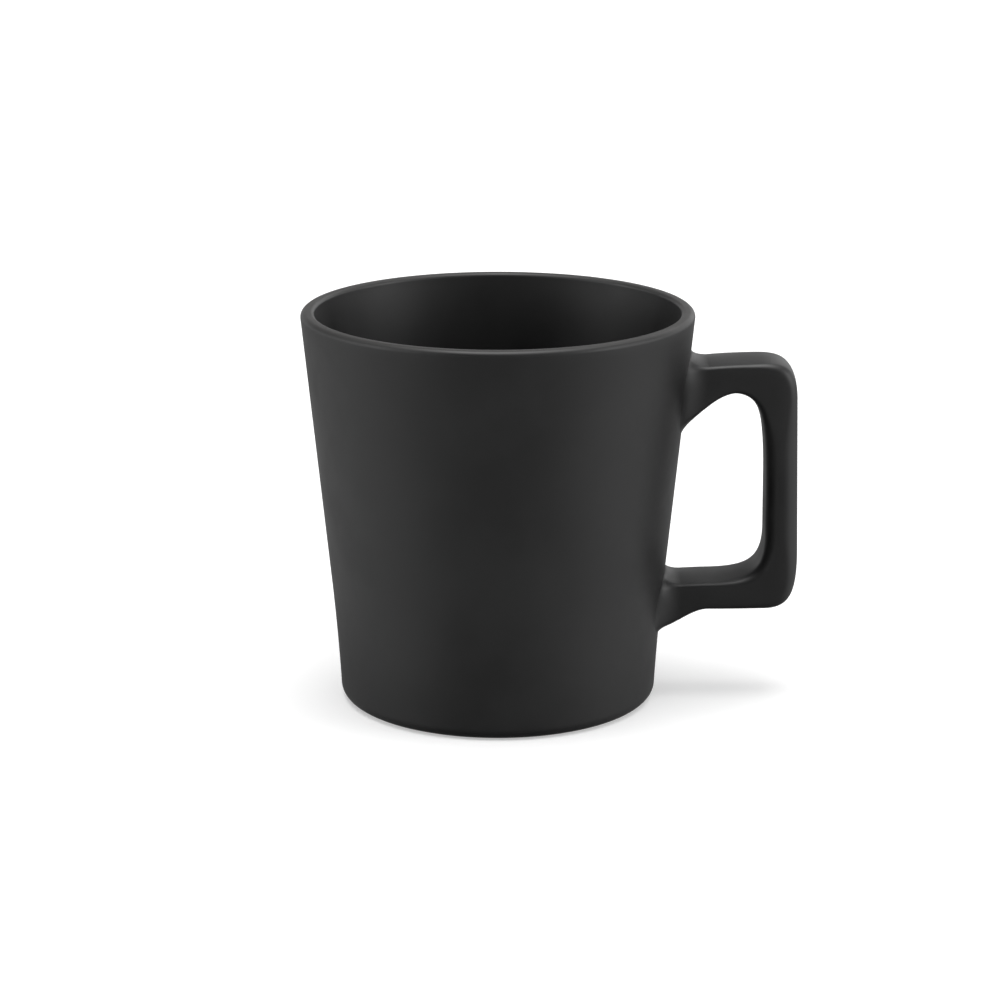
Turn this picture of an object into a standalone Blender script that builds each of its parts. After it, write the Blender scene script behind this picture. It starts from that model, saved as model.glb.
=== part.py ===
"""A tapered ceramic mug with a square handle, as the separate pieces a potter makes and joins.

Lengths are in metres and +Z is up. The origin is the centre of the mug's footprint, on the surface it
stands on, and +X runs from the cup towards its handle. The pieces are parented to an empty on the cup's
own axis, so every function below works from that axis.
"""

import math

import bmesh
import bpy

# Gap kept between two pieces that touch.
GAP = 0.0003

# Cup, by radius from its axis and height above the resting plane.
CUP_HEIGHT = 0.0862
RIM_RADIUS = 0.0426
WALL_TAPER = 0.1018
BASE_SWELL = 0.0007
BASE_SWELL_HEIGHT = 0.0270
WALL_AT_RIM = 0.0030
WALL_AT_BASE = 0.0045
RIM_ROUND_OUTSIDE = 0.0012
RIM_ROUND_INSIDE = 0.0009
BASE_ROUND = 0.0027
FLOOR_HEIGHT = 0.0065
FLOOR_ROUND = 0.0080
FOOT_RING_WIDTH = 0.0028
RECESS_DEPTH = 0.0015
RECESS_SLOPE = 0.0010
CUP_SEGMENTS = 72

# Handle, side on: distance from the cup's axis and height. Each corner is where two straight edges
# would meet, and its reach is how far along each of them the rounding starts.
HANDLE_HALF_DEPTH = 0.0072
UPPER_CUT = 0.0452
LOWER_CUT = 0.0400
UPPER_ARM_TOP_AT_CUT = 0.0754
OUTER_UPPER_CORNER = (0.06457, 0.0762)
OUTER_UPPER_REACH = (0.0084, 0.0088)
OUTER_LOWER_CORNER = (0.0658, 0.0202)
OUTER_LOWER_REACH = (0.0074, 0.0132)
INNER_UPPER_CORNER = (0.0580, 0.0687)
INNER_UPPER_REACH = (0.0078, 0.0195)
INNER_LOWER_CORNER = (0.0583, 0.0272)
INNER_LOWER_REACH = (0.0118, 0.0099)
LOWER_ARM_TOP_AT_CUT = 0.0268

# The points that the handle's sections fan out from round its two corners.
UPPER_FAN = (0.0510, 0.0560)
LOWER_FAN = (0.0490, 0.0380)

# The rounding of the handle's long edges, on its arms and on its grip, and how far its faces are crowned:
# the top and underside, then the front and back. An arm takes on the grip's shape between two distances.
ARM_EDGE_OUTSIDE = 0.0010
ARM_EDGE_INSIDE = 0.0009
GRIP_EDGE_OUTSIDE = 0.0032
GRIP_EDGE_INSIDE = 0.0030
ARM_CROWN = (0.130, 0.035)
GRIP_CROWN = (0.045, 0.100)
GRIP_SHAPE_FROM = 0.0500
GRIP_SHAPE_TO = 0.0640

# Gussets that thicken the arms' undersides towards the cup: where each starts, how far it drops by the
# wall, and how soon it straightens out on the way (0 bends all the way to the wall, 1 is straightest).
UPPER_GUSSET = (0.0519, 0.0090, 0.30)
LOWER_GUSSET = (0.0460, 0.0049, 1.20)

# Slip joints: the fillets of slip that hold the handle's two cut ends to the cup. Each flares up the wall
# and sideways round it, in a tighter curve underneath, and ends in an edge of its own thickness.
SLIP_FLARE = 0.0024
SLIP_SPREAD = 0.0043
SLIP_SPREAD_TAPER = 0.50
SLIP_DROP_UNDERNEATH = 0.0013
SLIP_REACH_UNDERNEATH = 0.0018
SLIP_EDGE = 0.0003

OUTLINE_STATIONS = 40
ARM_STATIONS = 6
CORNER_STATIONS = 13
GRIP_STATIONS = 4
FILLET_STATIONS = 4
EDGE_SEGMENTS = 3
FACE_SEGMENTS = 4

# How far towards its corner a rounding's curve pulls: 0.55 is a circle's arc, and more is squarer.
CORNER_PULL = 0.76

GLAZE_COLOUR = (0.022, 0.022, 0.023, 1.0)
GLAZE_ROUGHNESS = 0.42


def clear_scene():
    for thing in list(bpy.data.objects):
        bpy.data.objects.remove(thing, do_unlink=True)


def glaze(name):
    """Matt black glaze over stoneware."""
    material = bpy.data.materials.new(name)
    material.use_nodes = True
    shader = material.node_tree.nodes["Principled BSDF"]
    shader.inputs["Base Color"].default_value = GLAZE_COLOUR
    shader.inputs["Roughness"].default_value = GLAZE_ROUGHNESS
    shader.inputs["Metallic"].default_value = 0.0
    return material


def add_piece(name, mesh_data, cup_axis):
    """One named piece, smooth where it is round, carried by the cup's axis."""
    mesh = bpy.data.meshes.new(name)
    bmesh.ops.recalc_face_normals(mesh_data, faces=mesh_data.faces)
    mesh_data.to_mesh(mesh)
    mesh_data.free()
    mesh.materials.append(glaze(name + "_glaze"))
    mesh.shade_smooth()
    mesh.set_sharp_from_angle(angle=math.radians(35))
    piece = bpy.data.objects.new(name, mesh)
    bpy.context.collection.objects.link(piece)
    piece.parent = cup_axis
    return piece


def spaced(start, end, count):
    return [start + (end - start) * i / (count - 1) for i in range(count)]


def blend(start, end, share):
    return start + (end - start) * share


def arc(centre, radius, start, end, steps):
    """Points along a circle's arc, both ends included, with its angles in degrees."""
    points = []
    for degrees in spaced(start, end, steps + 1):
        angle = math.radians(degrees)
        points.append((centre[0] + radius * math.cos(angle), centre[1] + radius * math.sin(angle)))
    return points


# ---------------------------------------------------------------- cup


def wall_radius(z):
    """The outside of the cup at height z: a straight taper that steepens a little above the base."""
    straight = RIM_RADIUS - WALL_TAPER * (CUP_HEIGHT - z)
    return straight + BASE_SWELL * max(0.0, 1 - z / BASE_SWELL_HEIGHT) ** 2


def inner_radius(z):
    """The inside of the cup's wall, which thickens towards the base."""
    return wall_radius(z) - WALL_AT_BASE - (WALL_AT_RIM - WALL_AT_BASE) * z / CUP_HEIGHT


def cup_profile():
    """Half of the cup's section, from the middle of the underside out, up, over the rim and back in."""
    base = wall_radius(BASE_ROUND) - BASE_ROUND
    ring = base - FOOT_RING_WIDTH
    points = [(0.0, RECESS_DEPTH), (ring - RECESS_SLOPE, RECESS_DEPTH), (ring, 0.0)]
    points += arc((base, BASE_ROUND), BASE_ROUND, -90, 0, 5)

    outside = CUP_HEIGHT - RIM_ROUND_OUTSIDE
    for z in spaced(0.0, outside, 7)[1:-1]:
        points.append((wall_radius(z), z))
    shoulder = wall_radius(outside) - RIM_ROUND_OUTSIDE
    points += arc((shoulder, outside), RIM_ROUND_OUTSIDE, 0, 90, 4)

    inside = CUP_HEIGHT - RIM_ROUND_INSIDE
    lip = inner_radius(inside) + RIM_ROUND_INSIDE
    points += arc((lip, inside), RIM_ROUND_INSIDE, 90, 180, 3)
    bend = FLOOR_HEIGHT + FLOOR_ROUND
    for z in spaced(inside, bend, 4)[1:-1]:
        points.append((inner_radius(z), z))
    points += arc((inner_radius(bend) - FLOOR_ROUND, bend), FLOOR_ROUND, 0, -90, 6)
    points.append((0.0, FLOOR_HEIGHT))
    return points


def make_cup(cup_axis):
    """The cup's wall, floor and foot ring in one piece of clay, turned about the cup's axis."""
    data = bmesh.new()
    profile = [data.verts.new((r, 0.0, z)) for r, z in cup_profile()]
    edges = [data.edges.new(pair) for pair in zip(profile, profile[1:])]
    bmesh.ops.spin(
        data,
        geom=profile + edges,
        axis=(0, 0, 1),
        cent=(0, 0, 0),
        angle=math.tau,
        steps=CUP_SEGMENTS,
        use_merge=True,
    )
    bmesh.ops.remove_doubles(data, verts=data.verts, dist=0.000001)
    return add_piece("cup_body", data, cup_axis)


# ---------------------------------------------------------------- handle


def towards(point, target, reach):
    """The point that lies reach along the line from point to target."""
    share = reach / math.dist(point, target)
    return tuple(p + (t - p) * share for p, t in zip(point, target))


def rounded(before, corner, after, reach):
    """Points round a corner between two straight edges, on a curve that leaves both smoothly."""
    start = towards(corner, before, reach[0])
    end = towards(corner, after, reach[1])
    first = towards(start, corner, reach[0] * CORNER_PULL)
    second = towards(end, corner, reach[1] * CORNER_PULL)
    points = []
    for t in spaced(0.0, 1.0, OUTLINE_STATIONS):
        s = 1 - t
        weights = (s**3, 3 * s * s * t, 3 * s * t * t, t**3)
        ends = (start, first, second, end)
        points.append(tuple(sum(w * p[i] for w, p in zip(weights, ends)) for i in (0, 1)))
    return points


def line(start, end, count):
    return list(zip(spaced(start[0], end[0], count), spaced(start[1], end[1], count)))


def outline(first, upper, upper_reach, lower, lower_reach, last):
    """A three-sided outline: out along one arm, down the grip and back along the other arm."""
    upper_corner = rounded(first, upper, lower, upper_reach)
    lower_corner = rounded(upper, lower, last, (lower_reach[1], lower_reach[0]))
    points = line(first, upper_corner[0], OUTLINE_STATIONS)[:-1] + upper_corner + lower_corner
    return points + line(lower_corner[-1], last, OUTLINE_STATIONS)[1:]


def gusset(x, shape, arm_underside):
    """How far an arm's underside hangs down at x: nothing at the gusset's start, its drop at the cup."""
    start, drop, straightness = shape
    wall = wall_radius(arm_underside - drop)
    t = max(0.0, (start - x) / (start - wall))
    return drop * t * t * (1 + straightness - straightness * t)


def upper_gusset(x):
    return gusset(x, UPPER_GUSSET, INNER_UPPER_CORNER[1])


def lower_gusset(x):
    return gusset(x, LOWER_GUSSET, OUTER_LOWER_CORNER[1])


def outer_outline():
    """The handle's outer edge, with the gusset under the lower arm."""
    top = (UPPER_CUT, UPPER_ARM_TOP_AT_CUT)
    end = (LOWER_CUT, OUTER_LOWER_CORNER[1])
    points = outline(
        top, OUTER_UPPER_CORNER, OUTER_UPPER_REACH, OUTER_LOWER_CORNER, OUTER_LOWER_REACH, end
    )
    return [(x, z - lower_gusset(x) if z < HANDLE_MIDDLE else z) for x, z in points]


def inner_outline():
    """The finger loop's edge, with the gusset under the upper arm."""
    top = (UPPER_CUT, INNER_UPPER_CORNER[1])
    end = (LOWER_CUT, LOWER_ARM_TOP_AT_CUT)
    points = outline(
        top, INNER_UPPER_CORNER, INNER_UPPER_REACH, INNER_LOWER_CORNER, INNER_LOWER_REACH, end
    )
    return [(x, z - upper_gusset(x) if z > HANDLE_MIDDLE else z) for x, z in points]


HANDLE_MIDDLE = (INNER_UPPER_CORNER[1] + INNER_LOWER_CORNER[1]) / 2


def meet(points, start, heading):
    """Where the ray from start along heading crosses a line of points."""
    sides = [heading[0] * (z - start[1]) - heading[1] * (x - start[0]) for x, z in points]
    for i in range(len(points) - 1):
        (x, z), (next_x, next_z) = points[i], points[i + 1]
        ahead = (x - start[0]) * heading[0] + (z - start[1]) * heading[1] > 0
        if ahead and sides[i] * sides[i + 1] <= 0 and sides[i] != sides[i + 1]:
            share = sides[i] / (sides[i] - sides[i + 1])
            return (blend(x, next_x, share), blend(z, next_z, share))
    raise ValueError("the ray misses the outline")


def handle_cuts():
    """Rays across the handle: upright through each arm, fanned round each corner, level through the grip."""
    up, out, down = (0.0, 1.0), (1.0, 0.0), (0.0, -1.0)
    rays = [((x, UPPER_FAN[1]), up) for x in spaced(UPPER_CUT, UPPER_FAN[0], ARM_STATIONS)]
    for degrees in spaced(90, 0, CORNER_STATIONS)[1:-1]:
        angle = math.radians(degrees)
        rays.append((UPPER_FAN, (math.cos(angle), math.sin(angle))))
    rays += [(start, out) for start in line(UPPER_FAN, LOWER_FAN, GRIP_STATIONS)]
    for degrees in spaced(0, -90, CORNER_STATIONS)[1:-1]:
        angle = math.radians(degrees)
        rays.append((LOWER_FAN, (math.cos(angle), math.sin(angle))))
    return rays + [((x, LOWER_FAN[1]), down) for x in spaced(LOWER_FAN[0], LOWER_CUT, ARM_STATIONS)]


def handle_sections():
    """The inner and outer points of the handle's sections, from the upper cut end round to the lower one."""
    inner, outer = inner_outline(), outer_outline()
    return [(meet(inner, *ray), meet(outer, *ray)) for ray in handle_cuts()]


def section(inner, outer, grow=0.0):
    """One ring of the handle: a rounded, slightly crowned rectangle between its outlines, grown by grow."""
    length = math.dist(inner, outer)
    along = ((outer[0] - inner[0]) / length, (outer[1] - inner[1]) / length)
    outwards = ((inner[0] + outer[0]) / 2 - GRIP_SHAPE_FROM) / (GRIP_SHAPE_TO - GRIP_SHAPE_FROM)
    grip = max(abs(along[0]) ** 1.5, max(0.0, outwards) ** 2)
    inside = blend(ARM_EDGE_INSIDE, GRIP_EDGE_INSIDE, grip)
    outside = blend(ARM_EDGE_OUTSIDE, GRIP_EDGE_OUTSIDE, grip)
    corners = (
        (inside, 1, inside, 180),
        (length - outside, 1, outside, 90),
        (length - outside, -1, outside, 0),
        (inside, -1, inside, -90),
    )
    ring = []
    for place, side, radius, start in corners:
        centre = (place, side * (HANDLE_HALF_DEPTH - radius))
        edge = arc(centre, radius + grow, start, start - 90, EDGE_SEGMENTS)
        if ring:
            ring += line(ring[-1], edge[0], FACE_SEGMENTS + 1)[1:-1]
        ring += edge
    ring += line(ring[-1], ring[0], FACE_SEGMENTS + 1)[1:-1]

    middle = length / 2
    crown = [blend(arm, gripped, grip) for arm, gripped in zip(ARM_CROWN, GRIP_CROWN)]
    crowned = []
    for across, y in ring:
        share_across, share_y = (across - middle) / middle, y / HANDLE_HALF_DEPTH
        across = middle + (across - middle) * (1 - crown[0] * share_y**2)
        y = y * (1 - crown[1] * share_across**2)
        crowned.append((inner[0] + along[0] * across, y, inner[1] + along[1] * across))
    return crowned


def join_rings(data, rings):
    """Faces between each ring of points and the next. Returns the rings' vertices."""
    placed = [[data.verts.new(point) for point in ring] for ring in rings]
    for one, two in zip(placed, placed[1:]):
        for i in range(len(one)):
            j = (i + 1) % len(one)
            data.faces.new((one[i], one[j], two[j], two[i]))
    return placed


def make_handle(cup_axis):
    """The handle, pressed or cast on its own, with a flat cut end at the foot of each arm."""
    data = bmesh.new()
    rings = [section(inner, outer) for inner, outer in handle_sections()]
    placed = join_rings(data, rings)
    data.faces.new(placed[0])
    data.faces.new(placed[-1])
    return add_piece("handle", data, cup_axis)


# ---------------------------------------------------------------- slip joints


def on_wall(y, z, clear):
    """The x where the cup's outside lies at this y and z, moved out from it by clear."""
    return math.sqrt((wall_radius(z) + clear) ** 2 - y * y)


def make_slip_joint(name, ends, arm_gusset, cup_axis):
    """The slip between the handle's cut end and the cup, flaring out on to the wall in a hollow fillet."""
    data = bmesh.new()
    low, high = sorted(ends, key=lambda point: point[1])
    cut = low[0]
    middle = (low[1] + high[1]) / 2
    end = section(*ends)
    rings = [[(cut - GAP, y, z) for _, y, z in end]]
    for step in range(1, FILLET_STATIONS + 1):
        angle = math.pi / 2 * step / FILLET_STATIONS
        left = 1 - math.sin(angle)
        flare = SLIP_FLARE * (1 - math.cos(angle))
        grown = section(*ends, flare)
        ring = []
        for (_, y_before, z_before), (_, y, z) in zip(end, grown):
            spread = SLIP_SPREAD * (1 - SLIP_SPREAD_TAPER * ((z_before - middle) / (high[1] - middle)) ** 2)
            y = y_before + (y - y_before) * spread / SLIP_FLARE
            if z < middle:
                downwards = (z_before - z) / flare
                hang = min(1.0, (middle - z_before) / (middle - low[1]))
                wall = on_wall(y, z_before, GAP)
                reached = wall + (cut - wall) * left
                near = max(0.0, 1 - (reached - wall) / SLIP_REACH_UNDERNEATH)
                drop = SLIP_DROP_UNDERNEATH * (1 - math.sqrt(1 - near * near))
                z = z_before - downwards * drop - (arm_gusset(reached) - arm_gusset(cut)) * hang
            face = on_wall(y, z, GAP + SLIP_EDGE)
            ring.append((face + (cut - GAP - face) * left, y, z))
        rings.append(ring)

    edge = rings[-1]
    for share in (1.0, 0.66, 0.33):
        points = [(y * share, middle + (z - middle) * share) for _, y, z in edge]
        rings.append([(on_wall(y, z, GAP), y, z) for y, z in points])
    placed = join_rings(data, rings)
    data.faces.new(placed[0])
    centre = data.verts.new((on_wall(0.0, middle, GAP), 0.0, middle))
    last = placed[-1]
    for i in range(len(last)):
        data.faces.new((last[i], last[(i + 1) % len(last)], centre))
    return add_piece(name, data, cup_axis)


def make_mug():
    clear_scene()
    cup_axis = bpy.data.objects.new("cup_axis", None)
    bpy.context.collection.objects.link(cup_axis)
    handle_reach = max(x for x, _ in outer_outline())
    cup_reach = max(radius for radius, _ in cup_profile())
    cup_axis.location.x = -(handle_reach - cup_reach) / 2

    make_cup(cup_axis)
    make_handle(cup_axis)
    upper_ends, *_, lower_ends = handle_sections()
    make_slip_joint("upper_slip_joint", upper_ends, upper_gusset, cup_axis)
    make_slip_joint("lower_slip_joint", lower_ends, lower_gusset, cup_axis)


make_mug()
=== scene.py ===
"""Looks for the matt black mug: its glazed cup, square handle and the two slip fillets that join them.

Lengths are in metres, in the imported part's frame. Shapes are worked out about the cup's own axis, and each
piece is then moved to where the frame has that axis.
"""

import math

import bmesh
import bpy
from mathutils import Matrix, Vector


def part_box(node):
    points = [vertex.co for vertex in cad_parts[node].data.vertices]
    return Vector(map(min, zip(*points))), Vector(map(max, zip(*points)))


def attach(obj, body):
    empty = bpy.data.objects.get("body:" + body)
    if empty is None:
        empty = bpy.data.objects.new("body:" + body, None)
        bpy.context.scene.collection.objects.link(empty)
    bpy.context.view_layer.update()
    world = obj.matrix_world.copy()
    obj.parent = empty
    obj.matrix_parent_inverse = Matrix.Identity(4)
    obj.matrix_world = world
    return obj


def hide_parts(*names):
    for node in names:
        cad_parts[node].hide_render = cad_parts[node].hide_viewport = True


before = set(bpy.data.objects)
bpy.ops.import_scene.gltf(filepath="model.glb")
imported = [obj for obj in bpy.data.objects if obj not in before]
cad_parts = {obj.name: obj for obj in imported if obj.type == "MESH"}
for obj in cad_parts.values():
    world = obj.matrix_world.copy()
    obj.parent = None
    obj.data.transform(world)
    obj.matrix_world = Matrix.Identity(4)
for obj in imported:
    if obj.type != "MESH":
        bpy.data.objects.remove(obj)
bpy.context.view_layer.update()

# The cup, from the frame: its axis, its height and its widest radius, which is just under the rim.
CUP_LOW, CUP_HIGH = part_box("cup_body")
AXIS_X = (CUP_LOW.x + CUP_HIGH.x) / 2
CUP_HEIGHT = CUP_HIGH.z
CUP_REACH = (CUP_HIGH.x - CUP_LOW.x) / 2

# The cup's section.
WALL_TAPER = 0.1018
BASE_SWELL = 0.0007
BASE_SWELL_HEIGHT = 0.0270
WALL_AT_RIM = 0.0030
WALL_AT_BASE = 0.0045
RIM_ROUND_OUTSIDE = 0.0012
RIM_ROUND_INSIDE = 0.0009
BASE_ROUND = 0.0027
FLOOR_HEIGHT = 0.0065
FLOOR_ROUND = 0.0080
FOOT_RING_WIDTH = 0.0028
RECESS_DEPTH = 0.0015
RECESS_SLOPE = 0.0010
RECESS_SOFTENING = 0.0004
RIM_RADIUS = CUP_REACH + WALL_TAPER * RIM_ROUND_OUTSIDE

# The handle, side on, as distances from the cup's axis and heights. Its depth comes from the frame.
HANDLE_LOW, HANDLE_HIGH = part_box("handle")
HANDLE_HALF_DEPTH = (HANDLE_HIGH.y - HANDLE_LOW.y) / 2
UPPER_CUT = 0.0452
LOWER_CUT = 0.0400
UPPER_ARM_TOP_AT_CUT = 0.0754
OUTER_UPPER_CORNER = (0.06455, 0.0762)
OUTER_UPPER_REACH = (0.0084, 0.0088)
OUTER_LOWER_CORNER = (0.06578, 0.0202)
OUTER_LOWER_REACH = (0.0074, 0.0132)
INNER_UPPER_CORNER = (0.0580, 0.0687)
INNER_UPPER_REACH = (0.0078, 0.0195)
INNER_LOWER_CORNER = (0.0583, 0.0272)
INNER_LOWER_REACH = (0.0118, 0.0099)
LOWER_ARM_TOP_AT_CUT = 0.0268
HANDLE_MIDDLE = (INNER_UPPER_CORNER[1] + INNER_LOWER_CORNER[1]) / 2

# How far a rounded corner's curve is pulled into the corner, as a share of its reach.
CORNER_PULL = 0.76

# The points that the handle's sections fan out from round its two corners.
UPPER_FAN = (0.0510, 0.0560)
LOWER_FAN = (0.0490, 0.0380)

# The gussets under the two arms: where each starts, how far it drops by the cup, and how soon it
# straightens out on the way (0 bends all the way to the cup, 1 is straightest).
UPPER_GUSSET = (0.0519, 0.0090, 0.30)
LOWER_GUSSET = (0.0460, 0.0049, 1.2)

# The rounding of the handle's long edges, on its arms and on its grip, and how far its faces are crowned:
# the inner and outer faces first, then the two sides.
ARM_EDGE_OUTSIDE = 0.0009
ARM_EDGE_INSIDE = 0.0009
GRIP_EDGE_OUTSIDE = 0.0032
GRIP_EDGE_INSIDE = 0.0030
ARM_CROWN = (0.130, 0.035)
GRIP_CROWN = (0.045, 0.100)

# A section changes from the arms' shape to the grip's by how level it lies, and by how far out it is between
# these two distances from the cup's axis. The powers set how late each change comes.
GRIP_SHAPE_FROM = 0.0500
GRIP_SHAPE_TO = 0.0640
GRIP_POWER_LEVEL = 1.5
GRIP_POWER_OUTWARDS = 2

# The slip fillets: how far each flares up the wall and sideways round it, the share of the sideways flare
# that it loses by its top and bottom, the drop and the reach of its tighter curve underneath, how deep its
# edge sinks into the wall, and the rings that close it against the wall, as shares of its edge.
SLIP_FLARE = 0.0026
SLIP_SPREAD = 0.0045
SLIP_SPREAD_TAPER = 0.50
SLIP_DROP_UNDERNEATH = 0.0014
SLIP_REACH_UNDERNEATH = 0.0018
SLIP_SINK = 0.00004
SLIP_CLOSING_RINGS = (0.75, 0.5, 0.25)

# How finely each shape is divided, and the angle from which an edge is shaded as a sharp one.
CUP_SEGMENTS = 288
WALL_STATIONS = 48
UNDERSIDE_STATIONS = 14
RECESS_STATIONS = 5
BASE_STATIONS = 14
RIM_OUTSIDE_STATIONS = 12
RIM_INSIDE_STATIONS = 10
FLOOR_BEND_STATIONS = 16
FLOOR_STATIONS = 12
OUTLINE_STATIONS = 60
ARM_STATIONS = 22
CORNER_STATIONS = 56
GRIP_STATIONS = 20
EDGE_SEGMENTS = 8
FACE_SEGMENTS = 10
FILLET_STATIONS = 18
SHARP_ANGLE = math.radians(50)


def spaced(start, end, count):
    return [start + (end - start) * i / (count - 1) for i in range(count)]


def blend(start, end, share):
    return start + (end - start) * share


def arc(centre, radius, start, end, steps):
    """Points along a circle's arc, both ends included, from start to end in degrees."""
    points = []
    for degrees in spaced(start, end, steps + 1):
        angle = math.radians(degrees)
        points.append((centre[0] + radius * math.cos(angle), centre[1] + radius * math.sin(angle)))
    return points


def line(start, end, count):
    return list(zip(spaced(start[0], end[0], count), spaced(start[1], end[1], count)))


def towards(point, target, reach):
    """The point that lies reach along the line from point to target."""
    share = reach / math.dist(point, target)
    return tuple(p + (t - p) * share for p, t in zip(point, target))


def rounded(before, corner, after, reach, count):
    """Points round a corner between two straight edges, on a curve that leaves both smoothly."""
    start = towards(corner, before, reach[0])
    end = towards(corner, after, reach[1])
    first = towards(start, corner, reach[0] * CORNER_PULL)
    second = towards(end, corner, reach[1] * CORNER_PULL)
    points = []
    for t in spaced(0.0, 1.0, count):
        s = 1 - t
        weights = (s**3, 3 * s * s * t, 3 * s * t * t, t**3)
        ends = (start, first, second, end)
        points.append(tuple(sum(w * p[i] for w, p in zip(weights, ends)) for i in (0, 1)))
    return points


def fill_between(data, rings):
    """Faces between each ring of points and the next. Returns the rings' vertices."""
    placed = [[data.verts.new(point) for point in ring] for ring in rings]
    for one, two in zip(placed, placed[1:]):
        for i in range(len(one)):
            j = (i + 1) % len(one)
            data.faces.new((one[i], one[j], two[j], two[i]))
    return placed


def close_with_point(data, ring, point):
    centre = data.verts.new(point)
    for i in range(len(ring)):
        data.faces.new((ring[i], ring[(i + 1) % len(ring)], centre))


def add_piece(name, data):
    """A smooth-shaded object on the cup's axis, made from a bmesh."""
    bmesh.ops.recalc_face_normals(data, faces=data.faces)
    mesh = bpy.data.meshes.new(name)
    data.to_mesh(mesh)
    data.free()
    mesh.shade_smooth()
    mesh.set_sharp_from_angle(angle=SHARP_ANGLE)
    piece = bpy.data.objects.new(name, mesh)
    bpy.context.collection.objects.link(piece)
    piece.location.x = AXIS_X
    return piece


# ---------------------------------------------------------------- cup


def wall_radius(z):
    """The outside of the cup at height z: a straight taper that steepens a little above the base."""
    straight = RIM_RADIUS - WALL_TAPER * (CUP_HEIGHT - z)
    return straight + BASE_SWELL * max(0.0, 1 - z / BASE_SWELL_HEIGHT) ** 2


def inner_radius(z):
    """The inside of the cup's wall, which thickens towards the base."""
    return wall_radius(z) - WALL_AT_BASE - (WALL_AT_RIM - WALL_AT_BASE) * z / CUP_HEIGHT


FOOT_RING_OUTSIDE = wall_radius(BASE_ROUND) - BASE_ROUND
FOOT_RING_INSIDE = FOOT_RING_OUTSIDE - FOOT_RING_WIDTH


def cup_profile():
    """Half of the cup's section, from the middle of the underside out, up, over the rim and back in."""
    slope_top = (FOOT_RING_INSIDE - RECESS_SLOPE, RECESS_DEPTH)
    slope_foot = (FOOT_RING_INSIDE, 0.0)
    soft = (RECESS_SOFTENING, RECESS_SOFTENING)
    flat_end = (slope_top[0] - 2 * RECESS_SOFTENING, RECESS_DEPTH)
    points = line((0.0, RECESS_DEPTH), flat_end, UNDERSIDE_STATIONS)
    points += rounded((0.0, RECESS_DEPTH), slope_top, slope_foot, soft, RECESS_STATIONS)
    points += rounded(slope_top, slope_foot, (FOOT_RING_OUTSIDE, 0.0), soft, RECESS_STATIONS)
    points += line(points[-1], (FOOT_RING_OUTSIDE, 0.0), RECESS_STATIONS)[1:-1]
    points += arc((FOOT_RING_OUTSIDE, BASE_ROUND), BASE_ROUND, -90, 0, BASE_STATIONS)

    outside = CUP_HEIGHT - RIM_ROUND_OUTSIDE
    for z in spaced(BASE_ROUND, outside, WALL_STATIONS)[1:-1]:
        points.append((wall_radius(z), z))
    centre = (wall_radius(outside) - RIM_ROUND_OUTSIDE, outside)
    points += arc(centre, RIM_ROUND_OUTSIDE, 0, 90, RIM_OUTSIDE_STATIONS)

    inside = CUP_HEIGHT - RIM_ROUND_INSIDE
    centre = (inner_radius(inside) + RIM_ROUND_INSIDE, inside)
    points += arc(centre, RIM_ROUND_INSIDE, 90, 180, RIM_INSIDE_STATIONS)
    bend = FLOOR_HEIGHT + FLOOR_ROUND
    for z in spaced(inside, bend, WALL_STATIONS)[1:-1]:
        points.append((inner_radius(z), z))
    middle = inner_radius(bend) - FLOOR_ROUND
    points += arc((middle, bend), FLOOR_ROUND, 0, -90, FLOOR_BEND_STATIONS)
    return points + line((middle, FLOOR_HEIGHT), (0.0, FLOOR_HEIGHT), FLOOR_STATIONS)[1:]


def make_cup():
    """The turned cup, as rings of points about its axis closed by a point at each end."""
    data = bmesh.new()
    turns = [math.tau * i / CUP_SEGMENTS for i in range(CUP_SEGMENTS)]
    profile = cup_profile()
    rings = []
    for radius, z in profile[1:-1]:
        rings.append([(radius * math.cos(turn), radius * math.sin(turn), z) for turn in turns])
    placed = fill_between(data, rings)
    close_with_point(data, placed[0], (0.0, 0.0, profile[0][1]))
    close_with_point(data, placed[-1], (0.0, 0.0, profile[-1][1]))
    return add_piece("glazed_cup", data)


# ---------------------------------------------------------------- handle


def outline(first, upper, upper_reach, lower, lower_reach, last):
    """A three-sided outline: out along one arm, down the grip and back along the other arm."""
    upper_corner = rounded(first, upper, lower, upper_reach, OUTLINE_STATIONS)
    lower_corner = rounded(upper, lower, last, (lower_reach[1], lower_reach[0]), OUTLINE_STATIONS)
    points = line(first, upper_corner[0], OUTLINE_STATIONS)[:-1] + upper_corner + lower_corner
    return points + line(lower_corner[-1], last, OUTLINE_STATIONS)[1:]


def gusset(x, shape, arm_underside):
    """How far an arm's underside hangs down at x: nothing at the gusset's start, its drop at the cup."""
    start, drop, straightness = shape
    wall = wall_radius(arm_underside - drop)
    t = max(0.0, (start - x) / (start - wall))
    return drop * t * t * (1 + straightness - straightness * t)


def upper_gusset(x):
    return gusset(x, UPPER_GUSSET, INNER_UPPER_CORNER[1])


def lower_gusset(x):
    return gusset(x, LOWER_GUSSET, OUTER_LOWER_CORNER[1])


def outer_outline():
    """The handle's outer edge, with the gusset under the lower arm."""
    top = (UPPER_CUT, UPPER_ARM_TOP_AT_CUT)
    end = (LOWER_CUT, OUTER_LOWER_CORNER[1])
    points = outline(
        top, OUTER_UPPER_CORNER, OUTER_UPPER_REACH, OUTER_LOWER_CORNER, OUTER_LOWER_REACH, end
    )
    return [(x, z - lower_gusset(x) if z < HANDLE_MIDDLE else z) for x, z in points]


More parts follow.
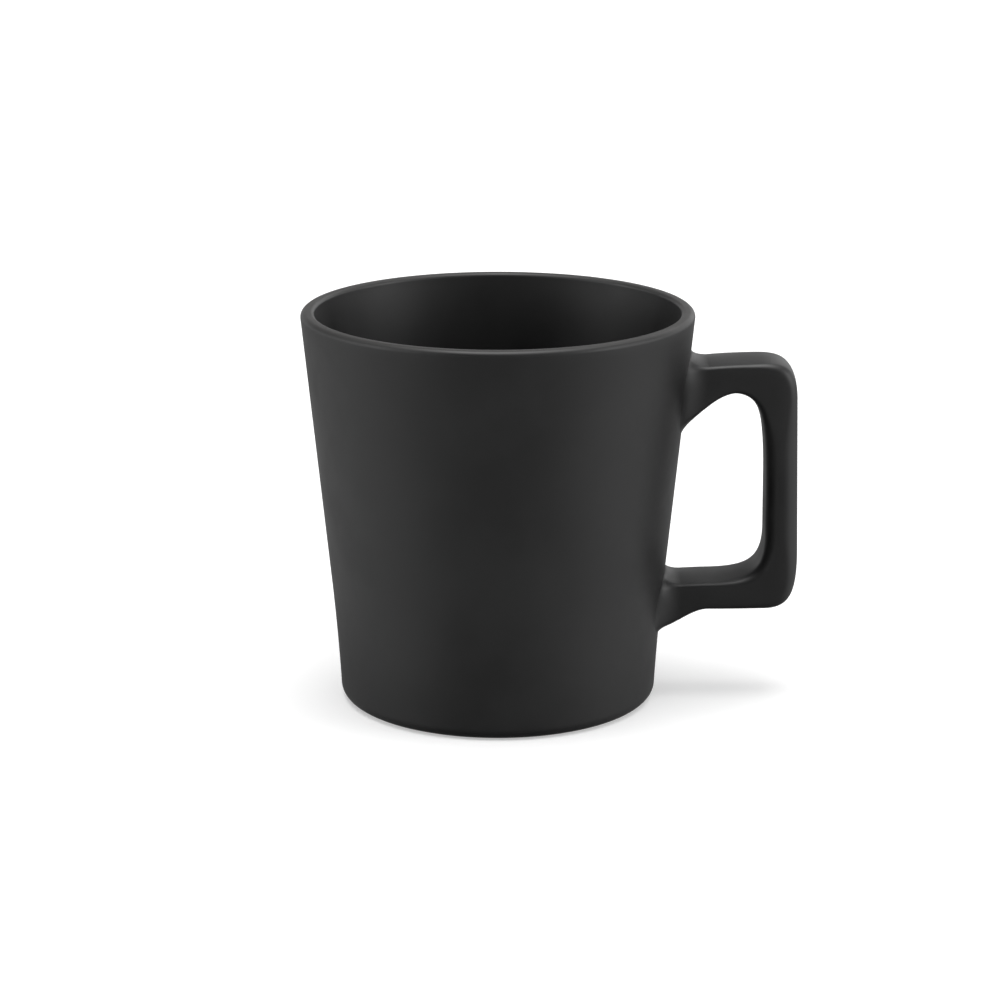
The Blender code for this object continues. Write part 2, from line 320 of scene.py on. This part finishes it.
def inner_outline():
    """The finger loop's edge, with the gusset under the upper arm."""
    top = (UPPER_CUT, INNER_UPPER_CORNER[1])
    end = (LOWER_CUT, LOWER_ARM_TOP_AT_CUT)
    points = outline(
        top, INNER_UPPER_CORNER, INNER_UPPER_REACH, INNER_LOWER_CORNER, INNER_LOWER_REACH, end
    )
    return [(x, z - upper_gusset(x) if z > HANDLE_MIDDLE else z) for x, z in points]


def meet(points, start, heading):
    """Where the ray from start along heading crosses a line of points."""
    sides = [heading[0] * (z - start[1]) - heading[1] * (x - start[0]) for x, z in points]
    for i in range(len(points) - 1):
        (x, z), (next_x, next_z) = points[i], points[i + 1]
        ahead = (x - start[0]) * heading[0] + (z - start[1]) * heading[1] > 0
        if ahead and sides[i] * sides[i + 1] <= 0 and sides[i] != sides[i + 1]:
            share = sides[i] / (sides[i] - sides[i + 1])
            return (blend(x, next_x, share), blend(z, next_z, share))
    raise ValueError("the ray misses the outline")


def handle_cuts():
    """Rays across the handle: upright through each arm, fanned round each corner, level through the grip."""
    up, out, down = (0.0, 1.0), (1.0, 0.0), (0.0, -1.0)
    rays = [((x, UPPER_FAN[1]), up) for x in spaced(UPPER_CUT, UPPER_FAN[0], ARM_STATIONS)]
    for degrees in spaced(90, 0, CORNER_STATIONS)[1:-1]:
        angle = math.radians(degrees)
        rays.append((UPPER_FAN, (math.cos(angle), math.sin(angle))))
    rays += [(start, out) for start in line(UPPER_FAN, LOWER_FAN, GRIP_STATIONS)]
    for degrees in spaced(0, -90, CORNER_STATIONS)[1:-1]:
        angle = math.radians(degrees)
        rays.append((LOWER_FAN, (math.cos(angle), math.sin(angle))))
    return rays + [((x, LOWER_FAN[1]), down) for x in spaced(LOWER_FAN[0], LOWER_CUT, ARM_STATIONS)]


def handle_sections():
    """The inner and outer points of the handle's sections, from the upper cut end round to the lower one."""
    inner, outer = inner_outline(), outer_outline()
    return [(meet(inner, *ray), meet(outer, *ray)) for ray in handle_cuts()]


def section(inner, outer, grow=0.0):
    """One ring of the handle: a rounded, slightly crowned rectangle between its outlines, grown by grow."""
    length = math.dist(inner, outer)
    along = ((outer[0] - inner[0]) / length, (outer[1] - inner[1]) / length)
    outwards = ((inner[0] + outer[0]) / 2 - GRIP_SHAPE_FROM) / (GRIP_SHAPE_TO - GRIP_SHAPE_FROM)
    grip = max(abs(along[0]) ** GRIP_POWER_LEVEL, max(0.0, outwards) ** GRIP_POWER_OUTWARDS)
    inside = blend(ARM_EDGE_INSIDE, GRIP_EDGE_INSIDE, grip)
    outside = blend(ARM_EDGE_OUTSIDE, GRIP_EDGE_OUTSIDE, grip)
    corners = (
        (inside, 1, inside, 180),
        (length - outside, 1, outside, 90),
        (length - outside, -1, outside, 0),
        (inside, -1, inside, -90),
    )
    ring = []
    for place, side, radius, start in corners:
        centre = (place, side * (HANDLE_HALF_DEPTH - radius))
        edge = arc(centre, radius + grow, start, start - 90, EDGE_SEGMENTS)
        if ring:
            ring += line(ring[-1], edge[0], FACE_SEGMENTS + 1)[1:-1]
        ring += edge
    ring += line(ring[-1], ring[0], FACE_SEGMENTS + 1)[1:-1]

    middle = length / 2
    crown = [blend(arm, gripped, grip) for arm, gripped in zip(ARM_CROWN, GRIP_CROWN)]
    crowned = []
    for across, y in ring:
        share_across, share_y = (across - middle) / middle, y / HANDLE_HALF_DEPTH
        across = middle + (across - middle) * (1 - crown[0] * share_y**2)
        y = y * (1 - crown[1] * share_across**2)
        crowned.append((inner[0] + along[0] * across, y, inner[1] + along[1] * across))
    return crowned


def make_handle():
    """The handle, as its sections joined in order and closed at its two cut ends."""
    data = bmesh.new()
    rings = [section(inner, outer) for inner, outer in handle_sections()]
    placed = fill_between(data, rings)
    data.faces.new(placed[0])
    data.faces.new(placed[-1])
    return add_piece("glazed_handle", data)


# ---------------------------------------------------------------- slip fillets


def on_wall(y, z):
    """The x just inside the cup's outer face at this y and z."""
    return math.sqrt((wall_radius(z) - SLIP_SINK) ** 2 - y * y)


def make_fillet(name, ends, arm_gusset):
    """The slip fillet that flares from a cut end of the handle, between ends, out on to the cup's wall."""
    data = bmesh.new()
    low, high = sorted(ends, key=lambda point: point[1])
    cut = low[0]
    middle = (low[1] + high[1]) / 2
    end = section(*ends)
    rings = [end]
    for step in range(1, FILLET_STATIONS + 1):
        angle = math.pi / 2 * step / FILLET_STATIONS
        left = 1 - math.sin(angle)
        flare = SLIP_FLARE * (1 - math.cos(angle))
        grown = section(*ends, flare)
        ring = []
        for (_, y_before, z_before), (_, y, z) in zip(end, grown):
            spread = SLIP_SPREAD * (1 - SLIP_SPREAD_TAPER * ((z_before - middle) / (high[1] - middle)) ** 2)
            y = y_before + (y - y_before) * spread / SLIP_FLARE
            if z < middle:
                downwards = (z_before - z) / flare
                hang = min(1.0, (middle - z_before) / (middle - low[1]))
                wall = on_wall(y, z_before)
                reached = wall + (cut - wall) * left
                near = max(0.0, 1 - (reached - wall) / SLIP_REACH_UNDERNEATH)
                drop = SLIP_DROP_UNDERNEATH * (1 - math.sqrt(1 - near * near))
                z = z_before - downwards * drop - (arm_gusset(reached) - arm_gusset(cut)) * hang
            face = on_wall(y, z)
            ring.append((face + (cut - face) * left, y, z))
        rings.append(ring)

    edge = rings[-1]
    for share in SLIP_CLOSING_RINGS:
        points = [(y * share, middle + (z - middle) * share) for _, y, z in edge]
        rings.append([(on_wall(y, z), y, z) for y, z in points])
    placed = fill_between(data, rings)
    data.faces.new(placed[0])
    close_with_point(data, placed[-1], (on_wall(0.0, middle), 0.0, middle))
    return add_piece(name, data)


# ---------------------------------------------------------------- materials


class Nodes:
    """A short way to add and link a material's nodes."""

    def __init__(self, name):
        self.material = bpy.data.materials.new(name)
        self.material.use_nodes = True
        self.tree = self.material.node_tree
        self.shader = self.tree.nodes["Principled BSDF"]

    def add(self, kind, **inputs):
        node = self.tree.nodes.new("ShaderNode" + kind)
        for name, value in inputs.items():
            self.set(node.inputs[name.replace("_", " ")], value)
        return node

    def set(self, socket, value):
        if isinstance(value, bpy.types.NodeSocket):
            self.tree.links.new(value, socket)
        else:
            socket.default_value = value

    def noise(self, place, scale, detail):
        return self.add("TexNoise", Vector=place, Scale=scale, Detail=detail).outputs["Fac"]

    def ramp(self, value, low, high, to_low, to_high):
        """A smooth step: to_low while value is under low, to_high once it is over high."""
        node = self.tree.nodes.new("ShaderNodeMapRange")
        node.interpolation_type = "SMOOTHSTEP"
        for name, number in (("Value", value), ("From Min", low), ("From Max", high)):
            self.set(node.inputs[name], number)
        self.set(node.inputs["To Min"], to_low)
        self.set(node.inputs["To Max"], to_high)
        return node.outputs["Result"]

    def mix(self, share, one, two):
        node = self.tree.nodes.new("ShaderNodeMix")
        node.data_type = "RGBA"
        self.set(node.inputs["Factor"], share)
        for socket, colour in ((node.inputs[MIX_ONE], one), (node.inputs[MIX_TWO], two)):
            self.set(socket, colour)
        return node.outputs[MIX_RESULT]

    def math(self, operation, *values):
        node = self.tree.nodes.new("ShaderNodeMath")
        node.operation = operation
        for socket, value in zip(node.inputs, values):
            self.set(socket, value)
        return node.outputs[0]


# The colour inputs and the output of a Mix node set to colours, whose names its other kinds share.
MIX_ONE = 6
MIX_TWO = 7
MIX_RESULT = 2

WHITE = (1.0, 1.0, 1.0, 1.0)
BLACK = (0.0, 0.0, 0.0, 1.0)

# The glaze's colours, from thick to thin, then its sheen, then its clouds, patches, grain and waves. Each
# noise has a detail, and a step is the part of a noise's range that goes from one look to the other.
GLAZE_DEEP = (0.0060, 0.0060, 0.0062, 1.0)
GLAZE_PALE = (0.0095, 0.0095, 0.0097, 1.0)
GLAZE_THIN = (0.0190, 0.0182, 0.0175, 1.0)
THIN_BELOW_RIM = 0.0007
GLAZE_ROUGHNESS = (0.43, 0.52)
GLAZE_SPECULAR = 0.50
CLOUDS_PER_METRE = 45.0
CLOUD_DETAIL = 3.0
CLOUD_STEP = (0.35, 0.65)
PATCHES_PER_METRE = 90.0
PATCH_DETAIL = 2.0
PATCH_STEP = (0.3, 0.7)
GRAIN_PER_METRE = 1500.0
GRAIN_DETAIL = 2.0
GRAIN_HEIGHT = 0.000006
WAVES_PER_METRE = 38.0
WAVE_DETAIL = 1.0
WAVE_HEIGHT = 0.00012

# The bare clay of the foot ring, and the heights between which the glaze ends.
CLAY_DARK = (0.110, 0.092, 0.075, 1.0)
CLAY_LIGHT = (0.190, 0.162, 0.135, 1.0)
CLAY_ROUGHNESS = 0.85
CLAY_SPECKS_PER_METRE = 1100.0
SPECK_DETAIL = 2.0
SPECK_STEP = (0.4, 0.6)
CLAY_LINE = (0.00002, 0.00014)


def glaze_material():
    """Satin black glaze: near-black and faintly clouded, thin over the rim, with a fine grain and the slow
    waves of a dipped coat. It is wiped off the foot ring, which shows bare speckled clay."""
    glaze = Nodes("matt_black_glaze")
    place = glaze.add("TexCoord").outputs["Object"]
    height = glaze.add("SeparateXYZ", Vector=place).outputs["Z"]

    clouds = glaze.ramp(glaze.noise(place, CLOUDS_PER_METRE, CLOUD_DETAIL), *CLOUD_STEP, 0.0, 1.0)
    coat = glaze.mix(clouds, GLAZE_DEEP, GLAZE_PALE)
    thin = glaze.ramp(height, CUP_HEIGHT - THIN_BELOW_RIM, CUP_HEIGHT, 0.0, 1.0)
    coat = glaze.mix(thin, coat, GLAZE_THIN)
    specks = glaze.ramp(glaze.noise(place, CLAY_SPECKS_PER_METRE, SPECK_DETAIL), *SPECK_STEP, 0.0, 1.0)
    clay = glaze.mix(specks, CLAY_DARK, CLAY_LIGHT)
    patches = glaze.noise(place, PATCHES_PER_METRE, PATCH_DETAIL)
    bare = glaze.math("LESS_THAN", height, glaze.ramp(patches, *PATCH_STEP, *CLAY_LINE))
    glaze.set(glaze.shader.inputs["Base Color"], glaze.mix(bare, coat, clay))

    roughness = glaze.ramp(patches, *PATCH_STEP, *GLAZE_ROUGHNESS)
    clay_roughness = glaze.math("MULTIPLY", bare, CLAY_ROUGHNESS)
    roughness = glaze.math("MAXIMUM", roughness, clay_roughness)
    glaze.set(glaze.shader.inputs["Roughness"], roughness)
    glaze.shader.inputs["Specular IOR Level"].default_value = GLAZE_SPECULAR

    waves = glaze.math("MULTIPLY", glaze.noise(place, WAVES_PER_METRE, WAVE_DETAIL), WAVE_HEIGHT)
    grain = glaze.math("MULTIPLY", glaze.noise(place, GRAIN_PER_METRE, GRAIN_DETAIL), GRAIN_HEIGHT)
    bump = glaze.add("Bump", Height=glaze.math("ADD", waves, grain), Strength=1.0, Distance=1.0)
    glaze.set(glaze.shader.inputs["Normal"], bump.outputs["Normal"])
    return glaze.material


# ---------------------------------------------------------------- studio

# The camera: its lens and sensor in millimetres, how far it stands from the point it aims at, how high it
# looks from, and the depth that it sees.
CAMERA_LENS = 112.25
CAMERA_SENSOR = 36.0
CAMERA_DISTANCE = 0.6824
CAMERA_ELEVATION = math.radians(15.353)
CAMERA_AIM = (AXIS_X + 0.00047, 0.0, 0.04356)
CAMERA_CLIP = (0.01, 50.0)

FLOOR_RADIUS = 4.0
FLOOR_SEGMENTS = 96
FLOOR_COLOUR = (0.68, 0.68, 0.68, 1.0)
FLOOR_COLOUR_PALE = (0.71, 0.71, 0.71, 1.0)
FLOOR_CLOUDS_PER_METRE = 3.0
FLOOR_CLOUD_DETAIL = 2.0
FLOOR_ROUGHNESS = 0.9
FLOOR_SPECULAR = 0.1
FLOOR_GLOW = 0.38

# Each softbox is far away: where it stands (degrees round from the front, and up), how wide it looks in
# degrees, and how strong its light is.
SOFTBOXES = {
    "overhead_softbox": (0.0, 87.0, 32.0, 1.3),
    "left_softbox": (-80.0, 20.0, 40.0, 0.75),
    "right_softbox": (78.0, 20.0, 40.0, 1.1),
    "back_softbox": (145.0, 25.0, 50.0, 0.45),
}
# What the studio round the mug gives off, by height on a sphere: dim below, pale round the horizon, dim
# above that and lit overhead.
STUDIO_LIGHT = (
    (-1.00, 0.10),
    (-0.62, 0.30),
    (-0.45, 0.50),
    (-0.26, 0.17),
    (-0.05, 0.20),
    (0.04, 0.75),
    (0.15, 0.60),
    (0.28, 0.05),
    (0.76, 0.05),
    (0.92, 1.90),
)
# What the two sides add, how far across they begin, how far they lean to the front, and what the back adds.
SIDE_LIGHT = 0.46
SIDE_FROM = 0.50
SIDE_FORWARD = 0.16
BACK_LIGHT = 0.20
# The painted shade of the floor round the mug's foot, a dark patch that only its reflections show: how far
# its middle is behind the mug's axis, its radius where it starts to fade and where it ends, and how dark it
# is.
SHADE_BEHIND = 0.012
SHADE_FROM = 0.036
SHADE_TO = 0.110
SHADE_DEPTH = 0.50


def add_camera():
    data = bpy.data.cameras.new("camera")
    data.lens = CAMERA_LENS
    data.sensor_width = CAMERA_SENSOR
    data.clip_start, data.clip_end = CAMERA_CLIP
    camera = bpy.data.objects.new("camera", data)
    bpy.context.collection.objects.link(camera)
    back = CAMERA_DISTANCE * math.cos(CAMERA_ELEVATION)
    up = CAMERA_DISTANCE * math.sin(CAMERA_ELEVATION)
    camera.location = (CAMERA_AIM[0], -back, CAMERA_AIM[2] + up)
    camera.rotation_euler = (math.pi / 2 - CAMERA_ELEVATION, 0.0, 0.0)
    bpy.context.scene.camera = camera


def floor_material():
    """Pale, faintly uneven studio floor that glows a little, with painted shade round the mug's foot that
    only its reflections show.
    """
    paint = Nodes("pale_studio_floor")
    place = paint.add("TexCoord").outputs["Object"]
    clouds = paint.noise(place, FLOOR_CLOUDS_PER_METRE, FLOOR_CLOUD_DETAIL)
    colour = paint.mix(clouds, FLOOR_COLOUR, FLOOR_COLOUR_PALE)
    paint.set(paint.shader.inputs["Base Color"], colour)
    paint.shader.inputs["Roughness"].default_value = FLOOR_ROUGHNESS
    paint.shader.inputs["Specular IOR Level"].default_value = FLOOR_SPECULAR
    paint.shader.inputs["Emission Color"].default_value = WHITE
    paint.shader.inputs["Emission Strength"].default_value = FLOOR_GLOW

    # In reflections the floor lets the studio's light through, except close to the mug, where it shows
    # painted shade: a black sheet that stands for the floor's shadow round the foot.
    from_mug = paint.add("VectorMath")
    from_mug.operation = "DISTANCE"
    paint.set(from_mug.inputs[0], place)
    paint.set(from_mug.inputs[1], (AXIS_X, SHADE_BEHIND, 0.0))
    shade = paint.ramp(from_mug.outputs["Value"], SHADE_FROM, SHADE_TO, SHADE_DEPTH, 0.0)
    clear = paint.add("BsdfTransparent")
    # The black sheet of the painted shade, mixed in by shade, which is strongest by the foot.
    dark = paint.add("BsdfDiffuse", Color=BLACK)
    reflected = paint.add("MixShader", Fac=shade)
    seen = paint.add("MixShader", Fac=paint.add("LightPath").outputs["Is Glossy Ray"])
    for join, one, two in ((reflected, clear, dark), (seen, paint.shader, reflected)):
        paint.tree.links.new(one.outputs[0], join.inputs[1])
        paint.tree.links.new(two.outputs[0], join.inputs[2])
    paint.tree.links.new(seen.outputs[0], paint.tree.nodes["Material Output"].inputs["Surface"])
    return paint.material


def add_floor():
    data = bmesh.new()
    bmesh.ops.create_circle(data, cap_ends=True, segments=FLOOR_SEGMENTS, radius=FLOOR_RADIUS)
    mesh = bpy.data.meshes.new("studio_floor")
    data.to_mesh(mesh)
    data.free()
    mesh.materials.append(floor_material())
    floor = bpy.data.objects.new("studio_floor", mesh)
    bpy.context.collection.objects.link(floor)


def add_softbox(name, azimuth, elevation, width, strength):
    """A soft light as far away as the sun, aimed at the mug."""
    data = bpy.data.lights.new(name, "SUN")
    data.energy = strength
    data.angle = math.radians(width)
    softbox = bpy.data.objects.new(name, data)
    softbox.rotation_euler = (math.radians(90 - elevation), 0.0, math.radians(azimuth))
    bpy.context.collection.objects.link(softbox)


def add_world():
    """The studio's walls and ceiling, which light the mug, behind a plain white backdrop."""
    world = bpy.data.worlds.new("studio")
    world.use_nodes = True
    tree = world.node_tree
    place = tree.nodes.new("ShaderNodeTexCoord").outputs["Generated"]
    split = tree.nodes.new("ShaderNodeSeparateXYZ")
    tree.links.new(place, split.inputs[0])

    height = tree.nodes.new("ShaderNodeMapRange")
    height.inputs["From Min"].default_value = -1.0
    tree.links.new(split.outputs["Z"], height.inputs["Value"])
    walls = tree.nodes.new("ShaderNodeValToRGB")
    walls.color_ramp.interpolation = "EASE"
    stops = walls.color_ramp.elements
    while len(stops) < len(STUDIO_LIGHT):
        stops.new(0.5)
    for stop, (z, light) in zip(stops, STUDIO_LIGHT):
        stop.position = (z + 1) / 2
        stop.color = (light, light, light, 1.0)
    tree.links.new(height.outputs["Result"], walls.inputs[0])

    across = tree.nodes.new("ShaderNodeMath")
    across.operation = "ABSOLUTE"
    tree.links.new(split.outputs["X"], across.inputs[0])
    aside = tree.nodes.new("ShaderNodeMath")
    aside.operation = "MULTIPLY_ADD"
    tree.links.new(split.outputs["Y"], aside.inputs[0])
    aside.inputs[1].default_value = -SIDE_FORWARD
    tree.links.new(across.outputs[0], aside.inputs[2])
    sides = tree.nodes.new("ShaderNodeMapRange")
    sides.interpolation_type = "SMOOTHSTEP"
    sides.inputs["From Min"].default_value = SIDE_FROM
    sides.inputs["To Max"].default_value = SIDE_LIGHT
    tree.links.new(aside.outputs[0], sides.inputs["Value"])

    back = tree.nodes.new("ShaderNodeMapRange")
    back.interpolation_type = "SMOOTHSTEP"
    back.inputs["To Max"].default_value = BACK_LIGHT
    tree.links.new(split.outputs["Y"], back.inputs["Value"])

    round_about = tree.nodes.new("ShaderNodeMath")
    tree.links.new(sides.outputs["Result"], round_about.inputs[0])
    tree.links.new(back.outputs["Result"], round_about.inputs[1])
    studio = tree.nodes.new("ShaderNodeVectorMath")
    tree.links.new(walls.outputs["Color"], studio.inputs[0])
    tree.links.new(round_about.outputs[0], studio.inputs[1])
    backdrop = tree.nodes.new("ShaderNodeMix")
    backdrop.data_type = "RGBA"
    seen = tree.nodes.new("ShaderNodeLightPath").outputs["Is Camera Ray"]
    tree.links.new(seen, backdrop.inputs["Factor"])
    tree.links.new(studio.outputs[0], backdrop.inputs[MIX_ONE])
    backdrop.inputs[MIX_TWO].default_value = WHITE
    tree.links.new(backdrop.outputs[MIX_RESULT], tree.nodes["Background"].inputs["Color"])
    bpy.context.scene.world = world


# ---------------------------------------------------------------- the mug

upper_ends, *_, lower_ends = handle_sections()
stands_for = {
    "cup_body": make_cup(),
    "handle": make_handle(),
    "upper_slip_joint": make_fillet("upper_slip_fillet", upper_ends, upper_gusset),
    "lower_slip_joint": make_fillet("lower_slip_fillet", lower_ends, lower_gusset),
}
glaze = glaze_material()
for node, piece in stands_for.items():
    piece.data.materials.append(glaze)
    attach(piece, "root")
    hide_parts(node)

add_camera()
add_floor()
add_world()
for name, numbers in SOFTBOXES.items():
    add_softbox(name, *numbers)
bpy.context.scene.view_settings.view_transform = "Standard"
